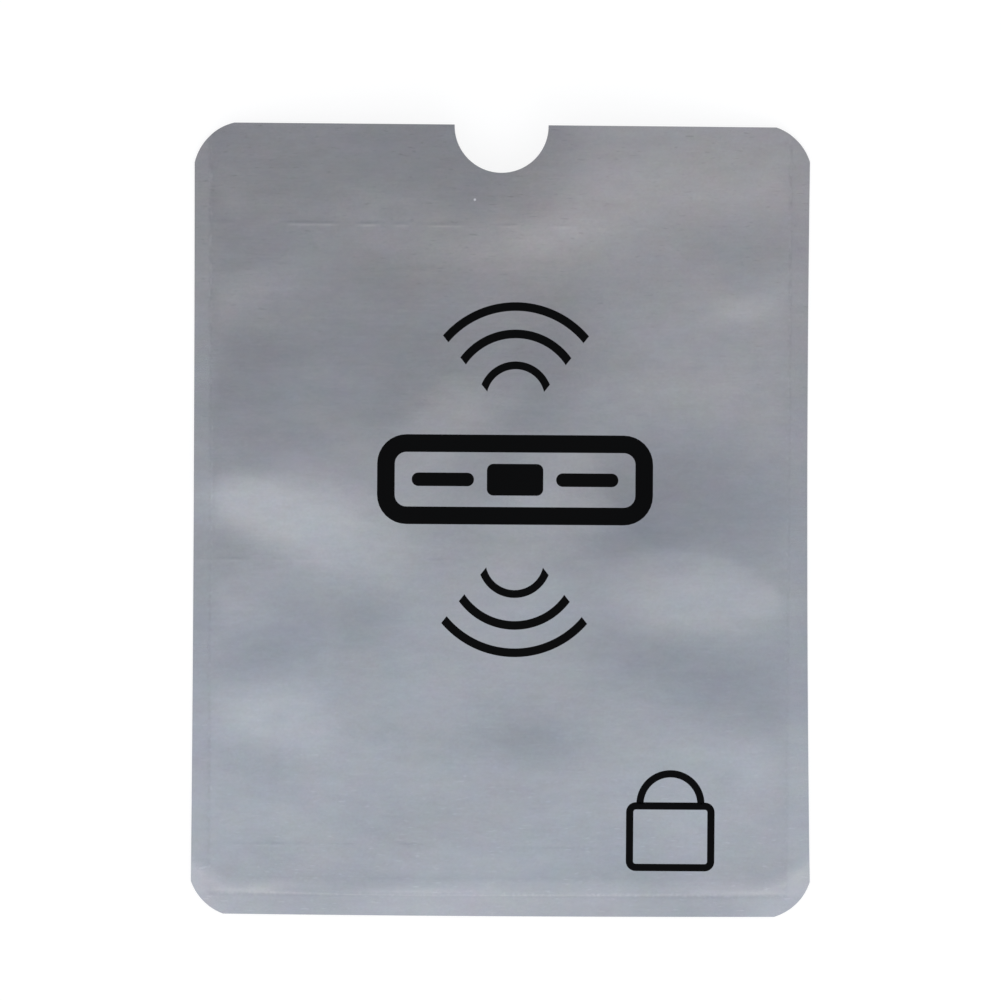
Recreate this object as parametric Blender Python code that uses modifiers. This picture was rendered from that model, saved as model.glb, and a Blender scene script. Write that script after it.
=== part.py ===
"""A foil sleeve that shields a contactless passport booklet or card.

Two laminated walls are heat-sealed to each other along both sides and the bottom.
The top edge stays open as the mouth, with a half-round thumb notch through both walls.
Each wall is three plies bonded with a thin line of adhesive: a cover film outside,
a shield foil, and a liner that faces the pocket and melts into the seals.

The sleeve lies on its rear wall. +X runs across it, +Y runs up to the mouth, and +Z
comes out of the front wall. The origin is on the table, under the middle of the outline.
The rear wall is flat, and the front wall stands off it in a low arch, so that the pocket
is open. Lengths are in metres.
"""

import math

import bmesh
import bpy

# The die-cut outline, which both walls and the seals share
SLEEVE_WIDTH = 0.105
SLEEVE_HEIGHT = 0.135
NOTCH_RADIUS = 0.008
NOTCH_STEPS = 28

# How far left of the middle the notch punch sat, and how far below the mouth's edge
NOTCH_SHIFT = 0.00022
NOTCH_DROP = 0.00016

# The corner punch, and how far short of a true round it stops at each corner
CORNER_RADIUS = 0.0092
TOP_LEFT_SHORTFALL = 0.00025
TOP_RIGHT_SHORTFALL = 0.00046
BOTTOM_LEFT_SHORTFALL = 0.00054
BOTTOM_RIGHT_SHORTFALL = 0.00042
CORNER_STEPS = 8

# The laminate, ply by ply, and the adhesive between two plies
COVER_FILM_THICKNESS = 0.00006
SHIELD_FOIL_THICKNESS = 0.00003
LINER_THICKNESS = 0.0001
BOND_LINE = 0.00001

# The heat seals, which hold the two liners together
SIDE_SEAL_WIDTH = 0.0034
BOTTOM_SEAL_WIDTH = 0.0037
SEAL_THICKNESS = 0.0001
SEAL_BUTT_GAP = 0.00002

# The low arch of the front wall: its height at the mouth, and how squarely it rises
MOUTH_GAPE = 0.005
ARCH_POWER = 3
RAMP_POWER = 4
CELLS_ACROSS = 18
CELLS_ALONG = 20

# How far a web or a cutter runs past the edge that it makes, and how near points merge
TRIM = 0.003
MERGE_DISTANCE = 0.000001

# A fold of the web sharper than this is shaded as a crease
CREASE_ANGLE = math.radians(6)

# Values that follow from the sizes above
HALF_WIDTH = SLEEVE_WIDTH / 2
HALF_HEIGHT = SLEEVE_HEIGHT / 2
POCKET_HALF_WIDTH = HALF_WIDTH - SIDE_SEAL_WIDTH
POCKET_FLOOR_Y = -HALF_HEIGHT + BOTTOM_SEAL_WIDTH
POCKET_DEPTH = HALF_HEIGHT - POCKET_FLOOR_Y
WALL_THICKNESS = COVER_FILM_THICKNESS + SHIELD_FOIL_THICKNESS + LINER_THICKNESS + 2 * BOND_LINE
SEAL_BASE_Z = WALL_THICKNESS + BOND_LINE
FRONT_WALL_Z = SEAL_BASE_Z + SEAL_THICKNESS + BOND_LINE
SLEEVE_TOP_Z = FRONT_WALL_Z + MOUTH_GAPE + WALL_THICKNESS

# Looks of the plies: colour, roughness and metallic value
COVER_FILM_LOOK = ((0.40, 0.42, 0.46), 0.34, 0.9)
SHIELD_FOIL_LOOK = ((0.80, 0.81, 0.83), 0.22, 1.0)
LINER_LOOK = ((0.62, 0.63, 0.65), 0.55, 0.0)
SEAL_LOOK = ((0.55, 0.56, 0.58), 0.50, 0.0)


def clear_scene():
    """Removes whatever the startup file holds."""
    for obj in list(bpy.data.objects):
        bpy.data.objects.remove(obj, do_unlink=True)


def new_collection(name):
    """A collection linked to the scene."""
    collection = bpy.data.collections.new(name)
    bpy.context.scene.collection.children.link(collection)
    return collection


def new_material(name, look):
    """A Principled material from a colour, a roughness and a metallic value."""
    colour, roughness, metallic = look
    material = bpy.data.materials.new(name)
    material.use_nodes = True
    shader = material.node_tree.nodes["Principled BSDF"]
    shader.inputs["Base Color"].default_value = (*colour, 1)
    shader.inputs["Roughness"].default_value = roughness
    shader.inputs["Metallic"].default_value = metallic
    material.diffuse_color = (*colour, 1)
    return material


def corner_arc(side_x, side_y, shortfall):
    """Points of a punched corner, from the upright edge round to the level edge.

    The punch stops a little short of a true round, so its arc crosses each edge at a slight
    angle. side_x and side_y are 1 or -1 and choose the corner.
    """
    inset = CORNER_RADIUS - shortfall
    first = math.acos(inset / CORNER_RADIUS)
    last = math.pi / 2 - first
    points = []
    for step in range(CORNER_STEPS + 1):
        angle = first + (last - first) * step / CORNER_STEPS
        x = HALF_WIDTH - inset + CORNER_RADIUS * math.cos(angle)
        y = HALF_HEIGHT - inset + CORNER_RADIUS * math.sin(angle)
        points.append((side_x * x, side_y * y))
    return points


def notch_arc():
    """Points of the thumb notch, from its right end round to its left end.

    The punch sat a little below the mouth's edge, so its arc is slightly more than a half turn.
    """
    rise = math.asin(NOTCH_DROP / NOTCH_RADIUS)
    points = []
    for step in range(NOTCH_STEPS + 1):
        angle = rise - (math.pi + 2 * rise) * step / NOTCH_STEPS
        x = -NOTCH_SHIFT + NOTCH_RADIUS * math.cos(angle)
        y = HALF_HEIGHT - NOTCH_DROP + NOTCH_RADIUS * math.sin(angle)
        points.append((x, y))
    return points


def sleeve_outline():
    """The die-cut outline, counter-clockwise seen from +Z."""
    outline = corner_arc(1, 1, TOP_RIGHT_SHORTFALL)
    outline += notch_arc()
    outline += reversed(corner_arc(-1, 1, TOP_LEFT_SHORTFALL))
    outline += corner_arc(-1, -1, BOTTOM_LEFT_SHORTFALL)
    outline += reversed(corner_arc(1, -1, BOTTOM_RIGHT_SHORTFALL))
    return outline


def flat_sheet(name, outline, base_z, thickness, collection):
    """A flat sheet of the outline, as a filled and extruded 2D curve."""
    curve = bpy.data.curves.new(name, "CURVE")
    curve.dimensions = "2D"
    curve.fill_mode = "BOTH"
    curve.extrude = thickness / 2
    spline = curve.splines.new("POLY")
    spline.points.add(len(outline) - 1)
    for point, (x, y) in zip(spline.points, outline):
        point.co = (x, y, 0, 1)
    spline.use_cyclic_u = True
    sheet = bpy.data.objects.new(name, curve)
    sheet.location.z = base_z + thickness / 2
    collection.objects.link(sheet)
    return sheet


def as_mesh(curve_object):
    """The same object as a closed mesh, so that it can cut or be cut. The curve is removed."""
    bpy.context.view_layer.update()
    graph = bpy.context.evaluated_depsgraph_get()
    mesh = bpy.data.meshes.new_from_object(curve_object.evaluated_get(graph))
    work = bmesh.new()
    work.from_mesh(mesh)
    bmesh.ops.remove_doubles(work, verts=work.verts, dist=MERGE_DISTANCE)
    bmesh.ops.recalc_face_normals(work, faces=work.faces)
    work.to_mesh(mesh)
    work.free()
    name = curve_object.name
    solid = bpy.data.objects.new(name + "_mesh", mesh)
    solid.matrix_world = curve_object.matrix_world.copy()
    for collection in curve_object.users_collection:
        collection.objects.link(solid)
    bpy.data.objects.remove(curve_object, do_unlink=True)
    solid.name = name
    return solid


def make_die(collection):
    """The cutter of the whole sleeve: its outline, as tall as the sleeve and a trim past each side."""
    die = as_mesh(flat_sheet("die", sleeve_outline(), -TRIM, SLEEVE_TOP_Z + 2 * TRIM, collection))
    die.hide_render = True
    die.display_type = "WIRE"
    return die


def trim_with(die, obj):
    """Keeps the part of the object that lies inside the die."""
    trim = obj.modifiers.new("die_cut", "BOOLEAN")
    trim.operation = "INTERSECT"
    trim.solver = "EXACT"
    trim.object = die


def gape(x, y):
    """Height of the arch at a point: flat over the seals, rising to its full height at the mouth."""
    across = min(abs(x) / POCKET_HALF_WIDTH, 1)
    along = min(max((y - POCKET_FLOOR_Y) / POCKET_DEPTH, 0), 1)
    return MOUTH_GAPE * (1 - across**ARCH_POWER) * (1 - (1 - along) ** RAMP_POWER)


def stations(start, end, cells, before, after):
    """Evenly spaced grid lines from start to end, with one more line past each end."""
    lines = [start + (end - start) * step / cells for step in range(cells + 1)]
    return [start - before, *lines, end + after]


def arched_web():
    """The inner face of the front wall before it is cut: an open grid that creases along the seals."""
    margin = SIDE_SEAL_WIDTH + TRIM
    columns = stations(-POCKET_HALF_WIDTH, POCKET_HALF_WIDTH, CELLS_ACROSS, margin, margin)
    rows = stations(POCKET_FLOOR_Y, HALF_HEIGHT, CELLS_ALONG, BOTTOM_SEAL_WIDTH + TRIM, TRIM)
    work = bmesh.new()
    bmesh.ops.create_grid(work, x_segments=len(columns) - 1, y_segments=len(rows) - 1, size=1)
    for vertex in work.verts:
        column = round((vertex.co.x + 1) / 2 * (len(columns) - 1))
        row = round((vertex.co.y + 1) / 2 * (len(rows) - 1))
        x, y = columns[column], rows[row]
        vertex.co = (x, y, FRONT_WALL_Z + gape(x, y))
    mesh = bpy.data.meshes.new("arched_web")
    work.to_mesh(mesh)
    work.free()
    mesh.shade_smooth()
    mesh.set_sharp_from_angle(angle=CREASE_ANGLE)
    return mesh


def front_ply(name, depth, thickness, material, die, collection):
    """A ply of the front wall, which starts depth above the wall's inner face."""
    ply = bpy.data.objects.new(name, arched_web())
    collection.objects.link(ply)
    lift = ply.modifiers.new("lift", "DISPLACE")
    lift.direction = "NORMAL"
    lift.mid_level = 0
    lift.strength = depth
    wall = ply.modifiers.new("wall", "SOLIDIFY")
    wall.thickness = thickness
    wall.offset = 1
    trim_with(die, ply)
    ply.data.materials.append(material)
    return ply


def rear_ply(name, base_z, thickness, material, collection):
    """A flat ply of the rear wall."""
    ply = flat_sheet(name, sleeve_outline(), base_z, thickness, collection)
    ply.data.materials.append(material)
    return ply


def seal_strip(name, left, right, bottom, top, material, die, collection):
    """A heat seal between the two liners: a strip between four sides, trimmed by the die."""
    bpy.ops.mesh.primitive_cube_add(size=1)
    strip = bpy.context.active_object
    strip.name = name
    strip.scale = (right - left, top - bottom, SEAL_THICKNESS)
    strip.location = ((left + right) / 2, (bottom + top) / 2, SEAL_BASE_Z + SEAL_THICKNESS / 2)
    bpy.ops.object.transform_apply(location=False, rotation=False, scale=True)
    for other in strip.users_collection:
        other.objects.unlink(strip)
    collection.objects.link(strip)
    trim_with(die, strip)
    strip.data.materials.append(material)
    return strip


def build_rear_wall(looks, collection):
    """The rear wall's plies, from the table up."""
    base_z = 0
    rear_ply("rear_cover_film", base_z, COVER_FILM_THICKNESS, looks["cover_film"], collection)
    base_z += COVER_FILM_THICKNESS + BOND_LINE
    rear_ply("rear_shield_foil", base_z, SHIELD_FOIL_THICKNESS, looks["shield_foil"], collection)
    base_z += SHIELD_FOIL_THICKNESS + BOND_LINE
    rear_ply("rear_liner", base_z, LINER_THICKNESS, looks["liner"], collection)


def build_front_wall(looks, die, collection):
    """The front wall's plies, from the pocket out."""
    depth = 0
    front_ply("front_liner", depth, LINER_THICKNESS, looks["liner"], die, collection)
    depth += LINER_THICKNESS + BOND_LINE
    front_ply("front_shield_foil", depth, SHIELD_FOIL_THICKNESS, looks["shield_foil"], die, collection)
    depth += SHIELD_FOIL_THICKNESS + BOND_LINE
    front_ply("front_cover_film", depth, COVER_FILM_THICKNESS, looks["cover_film"], die, collection)


def build_seals(looks, die, collection):
    """The two side seals, and the bottom seal that butts between them."""
    outer_x = HALF_WIDTH + TRIM
    outer_y = HALF_HEIGHT + TRIM
    seal = looks["seal"]
    seal_strip("left_seal", -outer_x, -POCKET_HALF_WIDTH, -outer_y, outer_y, seal, die, collection)
    seal_strip("right_seal", POCKET_HALF_WIDTH, outer_x, -outer_y, outer_y, seal, die, collection)
    end_x = POCKET_HALF_WIDTH - SEAL_BUTT_GAP
    seal_strip("bottom_seal", -end_x, end_x, -outer_y, POCKET_FLOOR_Y, seal, die, collection)


def build_sleeve():
    """The whole sleeve."""
    clear_scene()
    sleeve = new_collection("shielding_sleeve")
    cutters = new_collection("cutters")
    looks = {
        "cover_film": new_material("cover_film", COVER_FILM_LOOK),
        "shield_foil": new_material("shield_foil", SHIELD_FOIL_LOOK),
        "liner": new_material("liner", LINER_LOOK),
        "seal": new_material("seal", SEAL_LOOK),
    }
    die = make_die(cutters)
    build_rear_wall(looks, sleeve)
    build_seals(looks, die, sleeve)
    build_front_wall(looks, die, sleeve)


build_sleeve()
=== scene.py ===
"""Looks of the foil sleeve: its walls as fine, gently dented film, its print, and a plain studio.

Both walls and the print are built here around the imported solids. A wall is one triangulated
sheet that follows the die-cut outline. Its three plies are that same sheet, each lifted to its
own level, so they nest like the bonded plies of the real laminate. Lengths are in metres.
"""

import math

import bmesh
import bpy
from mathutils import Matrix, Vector, noise
from mathutils.geometry import delaunay_2d_cdt


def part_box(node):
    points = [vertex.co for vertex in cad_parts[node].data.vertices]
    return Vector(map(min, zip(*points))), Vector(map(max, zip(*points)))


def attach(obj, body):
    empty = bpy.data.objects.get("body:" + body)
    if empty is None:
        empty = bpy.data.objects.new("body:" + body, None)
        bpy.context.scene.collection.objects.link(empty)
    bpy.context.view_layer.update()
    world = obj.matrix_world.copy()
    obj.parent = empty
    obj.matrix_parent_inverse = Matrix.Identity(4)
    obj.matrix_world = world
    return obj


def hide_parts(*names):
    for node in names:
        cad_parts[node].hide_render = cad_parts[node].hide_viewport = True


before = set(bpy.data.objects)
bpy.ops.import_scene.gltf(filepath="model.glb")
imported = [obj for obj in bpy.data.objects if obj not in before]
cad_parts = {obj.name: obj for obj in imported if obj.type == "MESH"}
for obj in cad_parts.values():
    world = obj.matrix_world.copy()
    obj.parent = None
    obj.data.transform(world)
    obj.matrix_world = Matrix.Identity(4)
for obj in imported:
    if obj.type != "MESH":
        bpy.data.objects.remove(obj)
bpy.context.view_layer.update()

MM = 0.001

# The die-cut outline and the plies, from the imported solids
OUTLINE_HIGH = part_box("rear_cover_film")[1]
HALF_WIDTH = OUTLINE_HIGH.x
HALF_HEIGHT = OUTLINE_HIGH.y
COVER_FILM = OUTLINE_HIGH.z
SHIELD_FOIL_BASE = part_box("rear_shield_foil")[0].z
SHIELD_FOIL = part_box("rear_shield_foil")[1].z - SHIELD_FOIL_BASE
LINER_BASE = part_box("rear_liner")[0].z
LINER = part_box("rear_liner")[1].z - LINER_BASE
BOND = SHIELD_FOIL_BASE - COVER_FILM
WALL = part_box("rear_liner")[1].z

# The pocket between the seals, and the arch of the front wall over it. The arch has a share of the
# solids' height, so that the dents on it stay inside their box.
POCKET_HALF_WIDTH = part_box("right_seal")[0].x
POCKET_FLOOR_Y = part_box("bottom_seal")[1].y
POCKET_DEPTH = HALF_HEIGHT - POCKET_FLOOR_Y
FRONT_WALL_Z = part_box("front_liner")[0].z
MOUTH_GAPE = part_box("front_cover_film")[1].z - FRONT_WALL_Z - WALL
ARCH_POWER = 3
RAMP_POWER = 4
GAPE_SHARE = 0.857

# The punched corners, and the thumb notch: how far left of the middle its punch sat, and how far
# below the mouth's edge
NOTCH_RADIUS = 8 * MM
NOTCH_SHIFT = 0.22 * MM
NOTCH_DROP = 0.16 * MM
NOTCH_STEPS = 56
CORNER_RADIUS = 9.2 * MM
CORNER_SHORTFALLS = {(1, 1): 0.46 * MM, (-1, 1): 0.25 * MM, (-1, -1): 0.54 * MM, (1, -1): 0.42 * MM}
CORNER_STEPS = 16

# How the edges of this sleeve stray from a true rectangle, towards +X or +Y: the shift of each
# edge's middle, its slant and its bow
EDGE_BOW = {
    "left": (0.19 * MM, -0.08 * MM, -0.18 * MM),
    "right": (-0.15 * MM, -0.41 * MM, 0.52 * MM),
    "top": (-0.05 * MM, -0.14 * MM, 0.10 * MM),
    "bottom": (0.10 * MM, 0.02 * MM, 0.21 * MM),
}

# The sheet that both walls are made from: its cell, the share of a cell that its inner points keep
# from an edge, and the closer lines beside a fold. Points nearer than a thousandth of a millimetre
# are one, and only the triangles inside the outline are kept.
CELL = 1.1 * MM
EDGE_CLEARANCE_SHARE = 0.45
FINE_OFFSETS = [offset * MM for offset in (-0.9, -0.6, -0.4, -0.2, 0, 0.2, 0.4, 0.6, 0.9)]
FINE_REACH = 1.4 * MM
SAME_POINT = MM / 1000
INSIDE_ONLY = 1

# How far from a seal the film is held flat by it, how much of the dents the welded edges still
# follow, and how far the sleeve stands off the table so that they can
FREE_REACH = 3 * MM
HEM_SHARE = 0.5
HEM_LIFT = 0.23 * MM

# Soft dents in the front film, in millimetres and degrees: place, reach across and along, how far
# the dent is turned, and the tilt at its middle. A positive tilt faces the film to the bottom seal.
DENT_ROWS = (
    (-45, 3.6, 8, 3.2, -10, 6.4),
    (-28, -3.4, 10, 3.9, -16, 5.0),
    (-44, -14.0, 6, 7.0, 0, 2.2),
    (36, -13.6, 9, 3.2, 2, 5.3),
    (-38, -33.4, 6, 3.2, -8, 5.6),
    (-26, -19.0, 8, 4.0, 20, -0.7),
    (-42, -23.0, 7, 3.5, 12, -1.6),
    (41, -42.5, 8, 4.5, 8, 2.8),
    (28, 5.0, 10, 7.0, 0, -6.4),
    (43, 0.5, 8, 6.0, -10, -5.0),
    (27, -24.6, 9, 4.2, -12, -4.3),
    (43, -27.0, 5.5, 5.0, -10, -1.6),
    (9, 48.3, 17, 6.0, 18, 4.2),
    (41, 36.4, 4.2, 1.8, 10, 3.4),
    (40.5, 46.0, 7, 3.5, 0, -4.0),
    (-46, 37.5, 8, 3.0, 20, 2.6),
    (6, -37.8, 7, 3.6, 0, -4.2),
    (-14, -53.0, 9, 5.0, 0, -3.0),
    (6, 36.0, 16, 5.0, 0, 1.6),
    (-10, 17.5, 8, 5.0, 0, 2.4),
    (-31, 8.5, 15, 5.0, -4, 1.6),
    (-31, 29.0, 10, 8.0, 0, -1.2),
    (-15, -44.5, 14, 6.0, 0, -2.1),
    (-9, 46.0, 6, 3.5, 0, 2.0),
    (15, 57.5, 10, 5.0, 10, 2.8),
    (12, 3.2, 10, 6.0, 0, 3.0),
    (-19, 0.0, 5, 5.0, 0, 2.0),
    (34, -48.0, 6, 4.0, 0, -0.6),
    (17, 18.0, 8, 6.0, 0, 1.5),
    (43, 15.0, 6, 4.0, 0, -1.6),
    (30, -35.5, 8, 4.0, 0, -1.6),
    (-14, 54.5, 10, 5.0, 0, 1.2),
    (39, 29.0, 8, 6.0, 0, -1.8),
    (-12, 9.0, 5, 4.0, 0, 1.5),
    (-46, 15.0, 5, 4.0, 0, 1.3),
    (-39, -57.0, 8, 4.0, 0, -1.4),
    (48, 62.0, 6, 5.0, 0, 1.6),
    (49, -32.0, 5, 7.0, 0, -1.8),
    (11, 10.0, 8, 3.5, 0, 2.6),
    (3, -9.5, 8, 4.5, 0, 1.5),
    (12, 45.0, 8, 4.0, 0, 1.5),
    (-22, -4.5, 20, 5.0, 0, 0.9),
    (25, 21.0, 12, 6.0, 0, 1.3),
    (-34, 63.0, 8, 5.0, 0, -1.5),
    (-47, 57.0, 6, 7.0, 0, 1.2),
    (-31, 14.0, 5, 5.0, 0, -0.8),
    (19, 1.5, 6, 3.5, 0, 2.0),
    (17, -22.5, 5, 4.0, 0, 1.3),
    (4, 27.0, 14, 4.5, 0, 1.5),
    (-2, 18.5, 16, 6.0, 0, 1.0),
    (-43, 32.0, 6, 4.0, 0, 1.2),
)
DENTS = [
    (x * MM, y * MM, reach_x * MM, reach_y * MM, turn, tilt)
    for x, y, reach_x, reach_y, turn, tilt in DENT_ROWS
]
DENT_FADE = 3.5

# Faint folds that run across the film: height up the sleeve at the middle, slope in degrees,
# how far the ridge stands up, its reach, and the middle and half length of its run. A noise breaks
# each into dashes: their size, their usual strength, and how much that varies.
FOLDS = (
    (50.3 * MM, -0.4, 0.014 * MM, 0.24 * MM, -8 * MM, 46 * MM),
    (-6.8 * MM, 0.0, 0.010 * MM, 0.24 * MM, -30 * MM, 21 * MM),
    (-55.4 * MM, 0.0, 0.012 * MM, 0.24 * MM, -18 * MM, 36 * MM),
)
FOLD_DASH = 3.2 * MM
FOLD_STRENGTH = 0.5
FOLD_CHANGE = 2.0
FOLD_SEED = 5.3

# The groove that the welding bar leaves beside each seal, on the pocket side of it
GROOVE_DEPTH = 0.014 * MM
GROOVE_SIDE_SHARE = 0.03
GROOVE_REACH = 0.42 * MM
GROOVE_INSET = 0.35 * MM

# One curved crease, right of the lower waves: its top, its bend (per metre), the tilt below it
# in degrees, how far down that tilt fades, how sharp the kink is, its middle and reach across, and
# where the sheet has close lines for it. The kink's exponent is held to a limit far below the line.
CREASE_TOP = (30 * MM, -4.4 * MM)
CREASE_BEND = 24
CREASE_TILT = 3.2
CREASE_DECAY = 4.0 * MM
CREASE_KINK = 0.35 * MM
CREASE_FADE = 16 * MM
CREASE_MIDDLE = 38 * MM
CREASE_REACH = 8 * MM
CREASE_SPAN = (16 * MM, 48.5 * MM)
EXPONENT_LIMIT = 40

# Restless small waves all over: size and height of each octave, how much closer they are along the
# sleeve, where each wall's noise is taken from, and how much of them the rear wall has
MOTTLE = ((19 * MM, 0.090 * MM), (8 * MM, 0.022 * MM))
MOTTLE_SQUEEZE = 1.3
FRONT_SEED = 3.7
REAR_SEED = 11.2
REAR_MOTTLE_SHARE = 0.7

# The print, on the front film: its ink, how closely its lines are cut, and its figures
INK_LIFT = 0.004 * MM
INK_THICKNESS = 0.012 * MM
INK_STEP = 0.6 * MM
ARC_LANES = 3
BLOCK_LANES = 4
WAVE_LEAST_STEPS = 8
ROUNDING_STEPS = 8
SHACKLE_STEPS = 28
PRINT_X = 2.46 * MM
WAVES = ((15.63 * MM, 1.47 * MM), (10.97 * MM, 1.47 * MM), (5.62 * MM, 1.33 * MM))
WAVE_SPREAD = math.radians(38.6)
WAVE_APEX_DROP = 4.95 * MM
UPPER_WAVES_Y = 20.92 * MM
LOWER_WAVES_Y = -6.80 * MM
TAG_Y = 7.04 * MM
TAG_WIDTH = 47 * MM
TAG_HEIGHT = 15.3 * MM
TAG_STROKE = 3.0 * MM
TAG_ROUND = 5.0 * MM
CHIP_WIDTH = 9.6 * MM
CHIP_HEIGHT = 5.4 * MM
CHIP_ROUND = 1.1 * MM
BAR_THICKNESS = 2.3 * MM
BAR_INNER_X = 7.0 * MM
BAR_OUTER_X = 17.6 * MM
BAR_ROUND = 0.49 * BAR_THICKNESS
LOCK_X = 29.3 * MM
LOCK_Y = -53.65 * MM
LOCK_WIDTH = 15.1 * MM
LOCK_HEIGHT = 11.75 * MM
LOCK_STROKE = 1.24 * MM
LOCK_ROUND = 1.67 * MM
SHACKLE_RADIUS = 5.2 * MM
SHACKLE_SINK = LOCK_STROKE / 4

# The film's colour, and the two that it wanders between: the plain one towards the mouth and the
# cool one towards the bottom seal. The change spans a length about a middle, patches vary it, and it
# is plainer under the painted highlights over the rims. A noise gives each place a slight hue of its own.
FILM_COLOUR = (0.462, 0.475, 0.495)
FILM_COLOUR_PLAIN = (0.481, 0.476, 0.490)
FILM_COLOUR_COOL = (0.440, 0.469, 0.514)
TINT_SPAN = 80 * MM
TINT_MIDDLE = 10 * MM
TINT_PATCHES = (0.2, 0.8)
RIM_HIGHLIGHT_COOLNESS = -1.5
HUE_SHARE = 0.17
HUE_NOISE = (8 * MM, 7 * MM, 8 * MM, 1.7, 5.0, 0.88)

# The film's noises: the size of their grains along X, Y and Z, an offset, detail and roughness
FILM_NOISES = {
    "fine": (8 * MM, 0.25 * MM, 8 * MM, 0.0, 3.0, 0.6),
    "long": (45 * MM, 1.1 * MM, 45 * MM, 7.3, 2.0, 0.5),
    "grain": (3.4 * MM, 1.6 * MM, 3.4 * MM, 4.9, 3.0, 0.55),
    "haze": (34 * MM, 11 * MM, 34 * MM, 2.1, 3.0, 0.5),
    "speck": (0.55 * MM, 0.45 * MM, 0.55 * MM, 6.4, 2.0, 0.6),
    "long_scratch": (3.2 * MM, 0.22 * MM, 3.2 * MM, 5.6, 1.0, 0.4),
    "short_scratch": (1.6 * MM, 0.34 * MM, 1.6 * MM, 3.1, 1.0, 0.4),
    "tint": (17 * MM, 17 * MM, 17 * MM, 9.4, 2.0, 0.5),
    "weld_speckle": (0.5 * MM, 0.9 * MM, 1 * MM, 3.3, 2.0, 0.6),
    "weld_dash": (0.9 * MM, 2.6 * MM, 1 * MM, 8.2, 2.0, 0.5),
}

# How light the film is, and how much each part adds to that. The streaks have one share at the
# middle of the sleeve and more towards the mouth. The short scratches are dark towards the mouth
# and light towards the bottom seal. A scratch fades in between two levels of its noise.
FILM_TONE = 0.68
STREAKS = 0.023
STREAKS_TO_MOUTH = 0.014
LONG_SCRATCH_LEVELS = (0.6, 0.8)
SHORT_SCRATCH_LEVELS = (0.67, 0.79)
SHORT_SCRATCHES = -0.01
SHORT_SCRATCHES_TO_MOUTH = -0.17
TONE_SHARES = {
    "long": 0.03,
    "grain": 0.13,
    "haze": 0.29,
    "speck": 0.105,
    "long_scratches": 0.03,
    "short_scratches": 1.0,
    "pressed": 0.068,
    "flecks": 0.10,
    # dashes: weld marks with a painted highlight on the left and painted shade on the right
    "dashes": 0.085,
    # rims: the painted highlights over the bottom seal and along the low sides
    "rims": 1.0,
    "nick": 1.2,
}

# The film's roughness and what adds to it, and its faint relief
FILM_ROUGHNESS = 0.12
ROUGHNESS_SHARES = {"haze": 0.08, "fine": 0.08, "pressed": 0.05}
RELIEF_GRAIN = 0.8
RELIEF_STRENGTH = 0.06
RELIEF_DEPTH = 0.01 * MM

# Where the film is pressed over the seals: how far left the welding bar sat, how much its left edge
# leans out towards the mouth, how soft the edge is and how far it wanders, and the flecks on it
WELD_SHIFT = 0.15 * MM
WELD_SLANT = 0.007
WELD_BLUR = 0.5 * MM
WELD_WANDER = 0.25 * MM
FLECK_LEVELS = (0.5, 0.72)

# The thin dashes along the side seals' edges, weld marks painted as a highlight on the left and as shade
# on the right: the heights between which they lose strength and what is left of it below, the levels of
# their noise between which they fade in, how far from the edge they are solid and where they end, their
# share of the edge's wander, and how light the painted highlight is on the left and how dark the painted
# shade on the right
DASH_TOP_Y = 32 * MM
DASH_FADE_Y = 20 * MM
DASH_LOW_STRENGTH = 0.3
DASH_LEVELS = (0.46, 0.62)
DASH_CORE = 0.12 * MM
DASH_REACH = 0.45 * MM
DASH_WANDER_SHARE = 0.6
DASH_LEFT_HIGHLIGHT = 1.4
DASH_RIGHT_SHADE = -1.0

# The painted highlight over the bottom seal, a paler strip, by height over the sleeve's lower edge: where
# it starts, its brightest line, where the line ends and the strength from there down. It bends up near the
# sides.
# Then the places along it that are weaker or stronger: middle, reach and change.
BRIM_START = 6.6 * MM
BRIM_PEAK = 4.2 * MM
BRIM_EDGE = 3.4 * MM
BRIM_LOW_STRENGTH = 0.8
BRIM_CORNER = 9.5 * MM
BRIM_BEND = 0.05 / MM
BRIM_PLACES = (
    (-31 * MM, 9 * MM, -0.25),
    (-7 * MM, 16 * MM, 0.26),
    (33 * MM, 13 * MM, -0.45),
    (46 * MM, 7 * MM, 0.2),
)

# A faint apron of painted highlight above the middle of that strip: its share, its middle and reach
# across, and from the top down the heights where it starts, is full, begins to fade and ends
APRON_SHARE = 0.3
APRON_X = -2 * MM
APRON_REACH = 27 * MM
APRON_START = 12 * MM
APRON_PEAK = 8.5 * MM
APRON_EDGE = 5.8 * MM
APRON_END = 4 * MM

# The painted highlight on the low sides: how far in from the edge it begins to fade and ends, and
# the heights where it starts and is full. Then how light these painted highlights are on the strip and
# the sides, alone and where they cross.
SIDES_EDGE = 1.5 * MM
SIDES_REACH = 14 * MM
SIDES_TOP_Y = -18 * MM
SIDES_FULL_Y = -43 * MM
BRIM_HIGHLIGHT_TONE = 0.23
SIDES_HIGHLIGHT_TONE = 0.13
CROSSING_SHARE = 0.6

# One pinprick: its place and its radius, with the part of it that is solid
NICK_PLACE = (-4.7 * MM, 54.7 * MM, 0)
NICK_RADIUS = 0.26 * MM
NICK_CORE = 0.5 * NICK_RADIUS

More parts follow.
